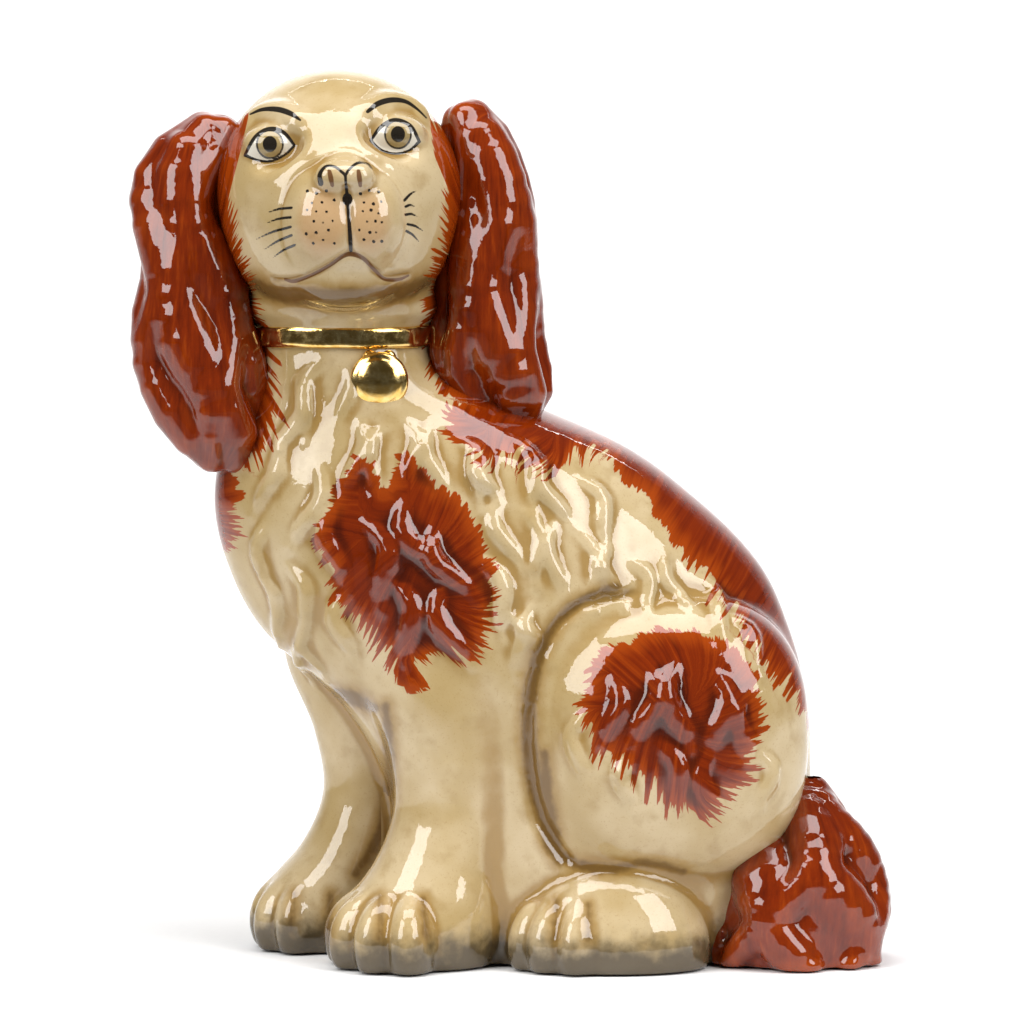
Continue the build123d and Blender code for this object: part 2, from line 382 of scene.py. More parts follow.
BODY = from_trunk([
    (0, 29.5, 0, 66, 43), (24, 30.5, 0, 71, 47), (60, 29.5, 0, 73.5, 50), (88, 20.5, 0, 81, 51),
    (112, 4.5, 0, 91, 51), (136, -7.5, 0, 91.5, 49), (158, -20.5, 0, 82.5, 45), (176, -31.5, 0, 68.5, 40),
    (190, -44.5, 0, 50, 34), (202, -55.5, 0, 34, 29.5), (210, -58, 0, 31, 27.5),
    (220, -58, 0, 31, 27.5)])
NEAR_FORELEG = from_trunk([
    (-4, -33, -33, 25, 19), (8, -33.5, -33.5, 28, 21.5), (20, -31, -32, 27, 22),
    (34, -25.5, -29, 22.5, 20.5), (50, -20.5, -27, 21, 19.5), (72, -19.5, -26.5, 23, 21),
    (96, -23.5, -25, 28, 24), (124, -30, -21, 27, 22)])
FAR_FORELEG = from_trunk([
    (-4, -66, 10, 19, 18), (8, -66.5, 9.5, 21, 19.5), (22, -64, 11, 21, 20), (36, -56.5, 14, 17, 18.5),
    (52, -51.5, 16, 15, 17.5), (74, -51.5, 17, 17.5, 18.5), (98, -55.5, 17, 23, 21), (124, -58, 16, 24, 21)])
HAUNCH_POWER = 2.5
NEAR_HAUNCH = (spot(52.5, -26, 78), (48.5 * unit, 36 * unit, 50 * unit), HAUNCH_POWER)
FAR_HAUNCH = (spot(53.5, 26, 78), (47 * unit, 32 * unit, 48 * unit), HAUNCH_POWER)
NEAR_HIND_PAW = (spot(34, -40, 6), (33 * unit, 22 * unit, 31 * unit))
FAR_HIND_PAW = (spot(36, 38, 6), (38 * unit, 21 * unit, 31 * unit))


def paw_toes(field, centre, half, headings, toe_half, height):
    """Rounded toes round the front of a paw, at headings in degrees from +X."""
    for heading in headings:
        c, s = math.cos(math.radians(heading)), math.sin(math.radians(heading))
        toe = spot(centre[0] + half[0] * c, centre[1] + half[1] * s, height)
        field.add(ellipsoid(toe, np.array(toe_half) * unit, turn_about("z", heading)), 2.2 * unit)


def draped(field, points, side=-1, lift=0.0):
    """Lays places (x, z, radius) on the near or far surface of a field; lift raises them off it."""
    rows = []
    for x, z, radius in points:
        y = field.depth(x, z, side)
        if y is not None:
            rows.append((x, y + side * lift, z, radius))
    return rows


def lock_of_fur(field, start, end, bend, width, lift, side=-1):
    """A tapered wavy lock moulded on the surface from start (x, z) to end, bowing sideways by bend."""
    start, end = np.array(start, float), np.array(end, float)
    across = np.array([-(end - start)[1], (end - start)[0]])
    across /= np.linalg.norm(across)
    places = []
    for t in np.linspace(0, 1, 9):
        sway = math.sin(2 * math.pi * t) * 0.45 + math.sin(math.pi * t)
        x, z = start + (end - start) * t + across * bend * sway
        taper = 0.25 + 0.75 * math.sin(math.pi * min(t * 1.15, 1)) ** 0.7
        places.append((TRUNK_X + x * unit, z * unit, width * unit * taper))
    rows = draped(field, places, side, lift * unit)
    if len(rows) > 2:
        field.add(strand(rows), 2.0 * unit)


# start (x, z), end (x, z), bend, width of the locks on the near side, from the neck to the haunch
NEAR_LOCKS = [
    ((-52, 186), (-58, 160), 3, 3.2), ((-44, 184), (-47, 160), -3, 3.0), ((-36, 186), (-36, 164), 3, 2.8),
    ((-28, 184), (-22, 160), -3, 3.2), ((-18, 180), (-10, 156), 4, 3.2), ((-66, 170), (-76, 142), 4, 3.4),
    ((-60, 158), (-56, 130), -4, 3.8), ((-50, 152), (-44, 122), 5, 4.2), ((-36, 160), (-22, 134), -5, 4.0),
    ((-26, 152), (-12, 126), -5, 3.8), ((-40, 132), (-36, 104), 4, 4.0), ((-24, 130), (-14, 104), -4, 4.0),
    ((-56, 128), (-54, 104), -4, 3.6), ((-12, 140), (-2, 112), 4, 3.6), ((-6, 160), (4, 136), -3, 2.8),
    ((4, 156), (8, 130), 3, 2.6), ((14, 152), (18, 126), -3, 2.6), ((23, 148), (28, 122), 3, 2.6),
    ((32, 144), (38, 122), -3, 2.6), ((41, 138), (46, 120), 3, 2.4), ((-84, 150), (-82, 124), -3, 3.0),
    ((-76, 136), (-70, 112), 3, 3.0), ((-2, 122), (2, 100), 3, 3.0), ((6, 124), (12, 106), -3, 2.6),
    ((46, 104), (40, 78), 4, 3.8), ((56, 106), (60, 76), -5, 4.4), ((68, 102), (66, 74), 4, 4.0),
    ((78, 96), (80, 72), -3, 3.2), ((34, 100), (30, 78), 3, 3.2), ((50, 78), (56, 56), 3, 3.6),
    ((66, 74), (70, 52), -3, 3.4), ((24, 88), (24, 64), -3, 2.6), ((40, 74), (40, 56), -3, 2.8),
    ((84, 74), (84, 56), 3, 2.6), ((-70, 118), (-64, 96), -3, 2.6), ((62, 132), (72, 112), 3, 2.6),
    ((52, 140), (62, 120), -3, 2.6), ((74, 120), (84, 100), 3, 2.4), ((-73, 200), (-82, 170), 4, 3.4),
    ((-65, 206), (-71, 178), -3, 3.0), ((-80, 180), (-89, 152), 3, 3.2), ((-56, 204), (-60, 184), 2, 2.4),
    ((-1, 180), (8, 154), 4, 3.2), ((11, 174), (20, 150), -4, 3.2), ((22, 166), (32, 142), 4, 3.0),
    ((-12, 178), (-4, 158), -3, 3.0), ((-86, 132), (-80, 106), 3, 2.8), ((-72, 112), (-66, 88), -3, 2.4)]

# x, z, radius of the groove in front of each haunch
HAUNCH_EDGE = [(40, 128, 1.0), (22, 124, 1.6), (11, 112, 2.0), (5.5, 92, 2.2), (5, 72, 2.2), (9, 52, 2.4),
               (18, 38, 2.2)]


def sculpt_trunk():
    """Clay of the body, legs, haunches and paws, cut off at the floor and inside the collar."""
    low = (cad_low.x / MM - 6, cad_low.y / MM - 6, -3)
    high = (cad_high.x / MM - 12, cad_high.y / MM + 6, 224 * unit)
    clay = Field(low, high, BODY_STEP)
    clay.add(column(BODY))
    clay.add(fuller(*NEAR_HAUNCH), 3.0)
    clay.add(fuller(*FAR_HAUNCH), 3.0)
    for leg in (FAR_FORELEG, NEAR_FORELEG):
        clay.add(column(leg), 4.0)
    for paw in (NEAR_HIND_PAW, FAR_HIND_PAW):
        clay.add(ellipsoid(*paw), 3.0)
    paw_toes(clay, (-32, -33), (17, 16), (172, 203, 234, 262), (16, 9.5, 17), 9)
    paw_toes(clay, (-66, 10), (12, 12), (140, 172, 206, 240), (14, 9, 16), 9)
    paw_toes(clay, (33, -40), (23, 13), (168, 196, 222, 246), (13, 8.5, 16), 8)
    paw_toes(clay, (28, 38), (24, 12), (192, 164, 138, 114), (14, 8.5, 16), 8)
    for start, end, bend, width in NEAR_LOCKS:
        lock_of_fur(clay, start, end, bend, width, -width * 0.22 * unit)
        lock_of_fur(clay, start, end, -bend, width, -width * 0.22 * unit, side=1)
    for side in (-1, 1):
        places = [(TRUNK_X + x * unit, z * unit, r * unit) for x, z, r in HAUNCH_EDGE]
        clay.cut(strand(through(draped(clay, places, side), 14)), 2.0)
    clay.keep_above(0, 1.6)
    clay.keep_below(COLLAR_LOW[2] + 4 * unit)
    return clay


# ---- the head -------------------------------------------------------------------------------------
def sculpt_head():
    """Clay of the head and neck, down to inside the collar."""
    low, high = (np.array(v) / MM for v in (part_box("head_front")[0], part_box("head_back")[1]))
    clay = Field(low - 5, high + 5, HEAD_STEP)
    clay.add(ellipsoid(face_spot(0.2, 7.3, 7.3), (41.5, 42, 42)))
    clay.add(ellipsoid(face_spot(2, -7, -10), (34, 34, 25)), 14)
    clay.add(ellipsoid(face_spot(1.5, 0, 8), (40.5, 40, 30)), 8)
    # muzzle with one pad each side of the lip's groove, the nose over it and the chin under it
    clay.add(ellipsoid(face_spot(4, -25, -3), (21, 22.5, 18.5)), 9)
    for side in (-1, 1):
        clay.add(ellipsoid(face_spot(4 + side * 8.5, -37, -0.5), (10.8, 10.5, 14.5)), 4.5)
        clay.add(ellipsoid(face_spot(4 + side * 5.2, -44, 14), (4.6, 5, 4.4)), 3)
    clay.add(ellipsoid(face_spot(4, -33, 13), (7, 14, 8)), 6)
    clay.add(ellipsoid(face_spot(4, -29, -23), (15, 12, 8)), 5)
    # shallow eye sockets with eyeballs in them, and brow ridges
    for x, up in ((-21.7, 22.1), (21.2, 25.5)):
        socket = shown_at(clay, x, up)
        clay.cut(ellipsoid(socket + (0, -2.8, 0), (11, 5, 8)), 5)
        clay.add(ellipsoid(socket + (0, 6.8, 0), (9.5, 8.5, 6.5)), 2.5)
        outward = math.copysign(1, x)
        brow = [(x + outward * dx, up + dz) for dx, dz in ((-9, 8), (-3, 11), (3, 10.5), (6.5, 8))]
        ridge = [(*(shown_at(clay, *place) + (0, 2.4, 0)), 3.2) for place in brow]
        clay.add(strand(through(ridge, 10)), 5)

    def groove(places, radius, blend):
        path = [(*(shown_at(clay, *place) - (0, 0.2, 0)), radius) for place in places]
        clay.cut(strand(through(path, 4 * len(path))), blend)

    groove([(4.6, 6), (4.9, 0), (5.4, -7), (6, -14)], 1.0, 2.5)
    groove([(-20, -24), (-14, -24.2), (-7, -22.3), (-1, -19.2), (3.4, -16.3), (6.4, -15.6), (10.2, -17.1),
            (14, -20.9), (18, -23.6), (25, -22.4)], 0.9, 2.0)
    # neck with its moulded roll above the collar
    neck = from_trunk([(206, -58, 0, 31, 27.5), (217, -58.5, -1, 31, 28), (222, -58.5, -1.5, 34, 31.5),
                       (228, -58.5, -2.5, 33, 31), (238, -59, -4, 31, 28)])
    clay.add(column(neck), 3)
    clay.keep_above(COLLAR_LOW[2] + 3 * unit)
    return clay


# ---- ears and tail: bundles of wavy locks on a solid core -------------------------------------------
def bundle(rows, locks, root, sway, wave, width, sink, step, shrink, melt):
    """Clay for an ear or the tail: a core through sections with locks that wander round it.

    A root is a lump that joins the piece to the head; the tail has none.
    """
    rows = np.array(rows, float)
    low = np.array([(rows[:, 1] - rows[:, 3]).min(), (rows[:, 2] - rows[:, 4]).min(), rows[0, 0]]) - 5
    high = np.array([(rows[:, 1] + rows[:, 3]).max(), (rows[:, 2] + rows[:, 4]).max(), rows[-1, 0]]) + 5
    if root:
        low, high = np.minimum(low, root[0] - 5), np.maximum(high, root[1] + 5)
    clay = Field(low, high, step)
    core = rows.copy()
    core[:, 3:] -= shrink
    clay.add(column(core))
    span = rows[-1, 0] - rows[0, 0]
    for number, (angle, phase, thick) in enumerate(locks):
        path = []
        for t in np.linspace(0.02, 0.98, 15):
            z = rows[-1, 0] - span * t
            cx, cy, hx, hy = (smooth_curve(rows[:, 0], rows[:, i], np.array([z]))[0] for i in range(1, 5))
            around = math.radians(angle + sway * math.sin(2 * math.pi * (t * span / wave + phase)))
            swell = 1 + 0.28 * math.sin(2 * math.pi * (t * span / wave + phase + 0.2))
            radius = width * thick * swell * (0.45 + 0.55 * math.sin(math.pi * t) ** 0.6)
            inward = sink * radius
            x = cx + (hx - inward) * math.cos(around)
            y = cy + (hy - inward) * math.sin(around)
            path.append((x, y, z, radius))
        clay.add(strand(path), melt)
    if root:
        clay.add(root, 6)
    return clay


# ---- painting: smooth distances on the vertices, turned into brushwork by the materials --------------
def along_curve(flat, outline, closed=False):
    """Distance to a polyline, the length along it to the nearest place, and the side it lies on."""
    outline = np.array(outline, float)
    ends = np.roll(outline, -1, 0) if closed else outline[1:]
    starts = outline if closed else outline[:-1]
    best = np.full(len(flat), 1e9)
    place, side = np.zeros(len(flat)), np.zeros(len(flat))
    done = 0.0
    for a, b in zip(starts, ends):
        step = b - a
        length = np.linalg.norm(step)
        t = np.clip((flat - a) @ step / length ** 2, 0, 1)
        gap = flat - a - t[:, None] * step
        away = np.hypot(gap[:, 0], gap[:, 1])
        nearer = away < best
        best = np.where(nearer, away, best)
        place = np.where(nearer, done + t * length, place)
        cross = step[0] * (flat[:, 1] - a[1]) - step[1] * (flat[:, 0] - a[0])
        side = np.where(nearer, np.sign(cross), side)
        done += length
    return best, place, side, done


def inside(flat, outline):
    """Which points a closed outline holds."""
    outline = np.array(outline, float)
    within = np.zeros(len(flat), bool)
    for a, b in zip(outline, np.roll(outline, -1, 0)):
        crosses = (a[1] > flat[:, 1]) != (b[1] > flat[:, 1])
        x = a[0] + (flat[:, 1] - a[1]) / (b[1] - a[1] + 1e-12) * (b[0] - a[0])
        within ^= crosses & (flat[:, 0] < x)
    return within


def closed_curve(points, count):
    """A smooth closed curve through the points."""
    rows = np.array(points, float)
    ring = np.concatenate([rows[-2:], rows, rows[:3]])
    steps = np.linspace(2, 2 + len(rows), count, endpoint=False)
    places = np.arange(len(ring), dtype=float)
    return np.stack([smooth_curve(places, ring[:, i], steps) for i in (0, 1)], 1)


NOWHERE = 9.0                   # a mark that puts no paint down


def brushed(flat, where, line, widths, smooth=8):
    """Distance outside a brush line whose width runs through the given values."""
    rows = through([(x, up, w) for (x, up), w in zip(line, widths)], smooth * len(line))
    best = np.full(len(flat), NOWHERE)
    for a, b in zip(rows[:-1], rows[1:]):
        along = b[:2] - a[:2]
        t = np.clip((flat - a[:2]) @ along / max(float(along @ along), 1e-9), 0, 1)
        away = np.hypot(*(flat - a[:2] - t[:, None] * along).T)
        best = np.minimum(best, away - (a[2] + t * (b[2] - a[2])) / 2)
    return np.where(where, best, NOWHERE)


class Paint:
    """The nearest painted edge of every vertex: how far, and where along it the brush flicks start."""

    def __init__(self, count):
        self.far = np.full(count, 40.0)
        self.length = np.full(count, 5.0)
        self.flick = np.zeros((count, 3))

    def lay(self, far, angle, radius, length, seed, where):
        nearer = (far < self.far) & where
        self.far = np.where(nearer, far, self.far)
        self.length = np.where(nearer, length, self.length)
        spots = np.stack([np.cos(angle) * radius, np.sin(angle) * radius, np.full(len(far), seed * 37.0)], 1)
        self.flick = np.where(nearer[:, None], spots, self.flick)

    def patch(self, flat, outline, curl, length, seed, where):
        """Paint inside a closed outline; the flicks lean by curl and are longest along the bottom."""
        curve = closed_curve(outline, 6 * len(outline))
        away, place, _, total = along_curve(flat, curve, closed=True)
        far = np.where(inside(flat, curve), -away, away)
        radius = total / (2 * math.pi)
        middle = curve.mean(0)
        downward = (middle[1] - flat[:, 1]) / np.hypot(*(flat - middle).T)
        length = length * (0.62 + 0.62 * np.clip(downward, -0.4, 1))
        self.lay(far, (place + curl * far) / radius, radius, length, seed, where)

    def edge(self, flat, rows, length, seed, where):
        """Flicks that start at the outline of an ear made through sections."""
        rows = np.array(rows)
        z = np.clip(flat[:, 1], rows[0, 0], rows[-1, 0])
        cx, hx = smooth_curve(rows[:, 0], rows[:, 1], z), smooth_curve(rows[:, 0], rows[:, 3], z)
        past_ends = np.maximum(flat[:, 1] - rows[-1, 0], rows[0, 0] - flat[:, 1])
        sideways = np.abs(flat[:, 0] - cx) - hx
        far = np.where(past_ends > 0, np.hypot(np.maximum(sideways, 0), past_ends), sideways)
        middle = rows[:, [1, 0]].mean(0)
        angle = np.arctan2(flat[:, 1] - middle[1], flat[:, 0] - middle[0])
        below = np.clip((rows[0, 0] + 12 - flat[:, 1]) / 20, 0, 1)
        self.lay(far, angle, 50.0, length * (1 + 1.6 * below), seed, where)


# outlines of the red-brown patches: places across from the trunk's axis, and up
CHEST_PATCH = [(-51.8, 171), (-43.5, 160), (-37.3, 171), (-25.9, 161), (-14, 150), (-8, 136), (-7, 120),
               (-13, 109.8), (-24.3, 104), (-36, 99.5), (-46, 110), (-56, 120), (-62, 132), (-66, 144),
               (-60, 157)]
HAUNCH_PATCH = [(27, 101), (38, 107), (51, 111), (66, 110), (78, 102), (83.5, 87), (82, 71), (75.5, 60),
                (63.7, 52), (50.8, 58), (38, 67), (29, 76.5), (23.5, 84.5), (26, 93)]
SPINE_STRIPE = [(28, 186), (34, 169), (45.6, 157.5), (56, 142.5), (68.9, 127), (79.3, 111.5), (89.6, 99),
                (99, 86), (112, 78), (118, 110), (96, 152), (60, 182), (40, 192)]
CHEST_EDGE = [(-112, 172), (-99, 172), (-95, 164), (-95, 152), (-99, 142), (-108, 136), (-118, 150)]
EAR_FOOT_PATCH = [(-20, 189), (8, 191), (24, 185), (33, 178), (36, 171), (26, 173), (14, 169), (2, 173),
                  (-10, 170), (-19, 178)]
FAR_SHOULDER_PATCH = [(-48, 160), (-28, 164), (-6, 152), (2, 132), (-8, 112), (-26, 104), (-46, 112),
                      (-58, 130), (-58, 148)]
# painted shade in the creases: places across and up, and how wide the shaded line is at each
HAUNCH_SHADE_LINES = [([(36, 127), (22, 121), (11, 108), (6.5, 92), (6, 74), (9.5, 55), (14, 42)],
                 [1.2, 1.6, 2.4, 3.2, 4.0, 5.0, 4.0])]
NEAR_SHADE_LINES = [([(11, 70), (11.5, 55), (13, 42), (16, 34)], [1.5, 4.0, 5.0, 3.0]),
              ([(16, 35), (24, 32), (34, 31), (46, 33), (58, 30)], [2.5, 2.6, 2.0, 1.4, 1.0]),
              ([(-43, 86), (-42, 70), (-42.5, 54), (-46, 40), (-54, 27)], [1.5, 2.6, 2.6, 2.2, 1.6]),
              ([(-60, 90), (-54, 88), (-47, 85)], [2.0, 4.0, 2.0]),
              ([(-44.5, 21), (-44.5, 8)], [0.2, 0.7]), ([(-30, 21), (-29, 8)], [0.1, 0.5]),
              ([(-62.5, 20), (-63.5, 6)], [0.6, 1.4]), ([(-75, 20), (-76.5, 8)], [0.1, 0.5]),
              ([(15, 20), (14.5, 8)], [0.2, 0.7]), ([(26, 19), (26, 8)], [0.1, 0.5])]


def sample(field, points):
    """Trilinear reading of a field at points; places off its grid read as far away."""
    at = (points - field.low) / field.step
    limit = np.array(field.d.shape) - 1.001
    within = ((at >= 0) & (at <= limit)).all(1)
    at = np.clip(at, 0, limit)
    i = at.astype(int)
    f = at - i
    total = 0.0
    for dx, dy, dz in CORNERS:
        weight = (np.where(dx, f[:, 0], 1 - f[:, 0]) * np.where(dy, f[:, 1], 1 - f[:, 1])
                  * np.where(dz, f[:, 2], 1 - f[:, 2]))
        total = total + weight * field.d[i[:, 0] + dx, i[:, 1] + dy, i[:, 2] + dz]
    return np.where(within, total, FAR)


def shelter(field, points, reach_mm):
    """Share of clay in a block round each point: over a half in a hollow, under it on a ridge."""
    r = max(int(round(reach_mm / field.step)), 1)
    share = (field.d < 0).astype(np.float32)
    for axis in range(3):
        padded = np.concatenate([np.repeat(share.take([0], axis), r + 1, axis), share,
                                 np.repeat(share.take([-1], axis), r, axis)], axis)
        total = np.cumsum(padded, axis, dtype=np.float64)
        n = share.shape[axis]
        share = ((total.take(range(2 * r + 1, 2 * r + 1 + n), axis) - total.take(range(n), axis))
                 / (2 * r + 1)).astype(np.float32)
    blurred = Field(field.low, field.low + 1, field.step)
    blurred.d = share
    return sample(blurred, points)


# ---- pieces ----------------------------------------------------------------------------------------
def make_mesh(name, points, quads, normals, marks, slot):
    """A Blender object from millimetre points, with its own vertex normals and marks for the materials."""
    mesh = bpy.data.meshes.new(name)
    mesh.vertices.add(len(points))
    mesh.vertices.foreach_set("co", (points * MM).astype(np.float32).ravel())
    mesh.loops.add(quads.size)
    mesh.loops.foreach_set("vertex_index", quads.astype(np.int32).ravel())
    mesh.polygons.add(len(quads))
    mesh.polygons.foreach_set("loop_start", np.arange(0, quads.size, 4, dtype=np.int32))
    mesh.update(calc_edges=True)
    mesh.validate()
    mesh.polygons.foreach_set("use_smooth", np.ones(len(mesh.polygons), bool))
    for mark, values in marks.items():
        kind = "FLOAT" if values.ndim == 1 else "FLOAT_VECTOR"
        layer = mesh.attributes.new(mark, kind, "POINT")
        layer.data.foreach_set("value" if kind == "FLOAT" else "vector", values.astype(np.float32).ravel())
    mesh.normals_split_custom_set_from_vertices(normals.astype(np.float32))
    piece = bpy.data.objects.new(name, mesh)
    bpy.context.scene.collection.objects.link(piece)
    piece.data.materials.append(MATERIALS[slot])
    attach(piece, "root")
    return piece


def pressing(name, points, quads, normals, marks, chosen, slot):
    """The chosen quads of a skin as a closed shell with a wall behind them."""
    quads = quads[chosen]
    used, quads = np.unique(quads, return_inverse=True)
    quads = quads.reshape(-1, 4)
    count = len(used)
    outer, out_normals = points[used], normals[used]
    inner = outer - out_normals * WALL
    edges = np.concatenate([quads[:, [i, (i + 1) % 4]] for i in range(4)])
    key = np.sort(edges, 1)
    _, first, copies = np.unique(key, axis=0, return_index=True, return_counts=True)
    rim = edges[first[copies == 1]]
    rim_quads = np.stack([rim[:, 1], rim[:, 0], rim[:, 0] + count, rim[:, 1] + count], 1)
    all_quads = np.concatenate([quads, quads[:, ::-1] + count, rim_quads])
    all_marks = {mark: np.concatenate([values[used], values[used]]) for mark, values in marks.items()}
    piece = make_mesh(name, np.concatenate([outer, inner]), all_quads,
                      np.concatenate([out_normals, -out_normals]), all_marks, slot)
    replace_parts(piece, name)


# ---- materials ---------------------------------------------------------------------------------------
class Shader:
    """A small hand for building node trees."""

    def __init__(self, name):
        self.material = bpy.data.materials.new(name)
        self.material.use_nodes = True
        self.tree = self.material.node_tree
        self.tree.nodes.clear()
        output = self.tree.nodes.new("ShaderNodeOutputMaterial")
        self.surface = self.tree.nodes.new("ShaderNodeBsdfPrincipled")
        self.tree.links.new(self.surface.outputs[0], output.inputs["Surface"])

    def node(self, kind, inputs, output=0, **settings):
        made = self.tree.nodes.new("ShaderNode" + kind)
        for name, value in settings.items():
            setattr(made, name, value)
        for socket, value in inputs.items():
            self.plug(made.inputs[socket], value)
        return made.outputs[output]

    def plug(self, socket, value):
        if isinstance(value, bpy.types.NodeSocket):
            self.tree.links.new(value, socket)
        else:
            socket.default_value = value

    def mark(self, name, output="Fac"):
        return self.node("Attribute", {}, output, attribute_name=name)

    def math(self, operation, a, b=0.0):
        return self.node("Math", {0: a, 1: b}, operation=operation)

    def step(self, value, low, high, start=0.0, end=1.0):
        return self.node("MapRange", {"Value": value, "From Min": low, "From Max": high, "To Min": start,
                                      "To Max": end}, interpolation_type="SMOOTHSTEP")

    def noise(self, vector, scale, detail=2.0, roughness=0.5):
        return self.node("TexNoise", {"Vector": vector, "Scale": scale, "Detail": detail,
                                      "Roughness": roughness})

    def mix(self, share, a, b):
        return self.node("Mix", {0: share, 6: a, 7: b}, 2, data_type="RGBA")

    def place(self):
        """Place in the frame, in millimetres."""
        where = self.node("TexCoord", {}, "Object")
        return self.node("VectorMath", {0: where, 3: 1 / MM}, operation="SCALE")

    def set(self, **values):
        for name, value in values.items():
            self.plug(self.surface.inputs[name.replace("_", " ")], value)

    def bump(self, height, strength, distance, after=None):
        inputs = {"Height": height, "Strength": strength, "Distance": distance}
        if after is not None:
            inputs["Normal"] = after
        return self.node("Bump", inputs)


def rgb(red, green, blue):
    return (red, green, blue, 1.0)


CREAM, CREAM_PALE, CREAM_BUFF = rgb(0.43, 0.31, 0.14), rgb(0.54, 0.42, 0.245), rgb(0.345, 0.23, 0.09)
# browns on the next line: a stain that is also used as painted shade in the creases, a near-black painted
# shade and a brown painted shade
STAIN_AND_SHADE, SHADE_DEEP, SHADE_BROWN = rgb(0.30, 0.175, 0.045), rgb(0.055, 0.038, 0.018), rgb(0.11, 0.052, 0.011)
RUSSET, RUSSET_BRIGHT = rgb(0.175, 0.018, 0.001), rgb(0.34, 0.052, 0.003)
# the second red-brown on the next line is near-black painted shade for the creases
RUSSET_DEEP, RUSSET_SHADE = rgb(0.095, 0.009, 0.001), rgb(0.025, 0.003, 0.001)
INK, SEPIA = rgb(0.006, 0.005, 0.005), rgb(0.11, 0.036, 0.008)
OCHRE, PINK, EYE_WHITE = rgb(0.34, 0.25, 0.11), rgb(0.50, 0.28, 0.13), rgb(0.74, 0.70, 0.60)
# the darkest gold on the next line is wear and also painted shade in the creases
GOLD, GOLD_BRIGHT, GOLD_WORN_AND_SHADED = rgb(0.80, 0.50, 0.13), rgb(0.93, 0.70, 0.30), rgb(0.16, 0.09, 0.02)
BARE, BARE_PALE = rgb(0.60, 0.53, 0.42), rgb(0.76, 0.70, 0.58)
# the dark paper on the next line is painted shade in front of the figure
PAPER, PAPER_PALE, PAPER_SHADE = rgb(0.86, 0.86, 0.86), rgb(0.90, 0.90, 0.90), rgb(0.05, 0.05, 0.05)


def glaze_gloss(shader, where):
    """Thick clear glaze: a sharp coat that is very slightly uneven, over paint with no shine of its own."""
    swell = shader.noise(where, 0.09, 2.0)
    ripple = shader.noise(where, 0.6, 1.0)
    uneven = shader.bump(ripple, 0.12, 0.0002, shader.bump(swell, 0.25, 0.0006))
    shader.set(Roughness=0.5, Specular_IOR_Level=0.0, Coat_Weight=1.0, Coat_Roughness=0.025, Coat_IOR=1.6,
               Normal=uneven, Coat_Normal=uneven)


def russet_colour(shader, streak_vector, crease, ridge_share):
    """Red-brown enamel, thin and orange on the ridges, darkened in the creases as painted shade, with brush
    streaks.
    """
    streaks = shader.noise(streak_vector, 1.0, 3.0, 0.65)
    colour = shader.mix(shader.step(streaks, 0.22, 0.55), RUSSET_DEEP, RUSSET)
    colour = shader.mix(shader.math("MULTIPLY", shader.step(streaks, 0.5, 0.8), 0.65), colour, RUSSET_BRIGHT)
    colour = shader.mix(ridge_share, colour, RUSSET_BRIGHT)
    return shader.mix(shader.step(crease, 0.1, 1.0, 0.0, 0.7), colour, RUSSET_SHADE)


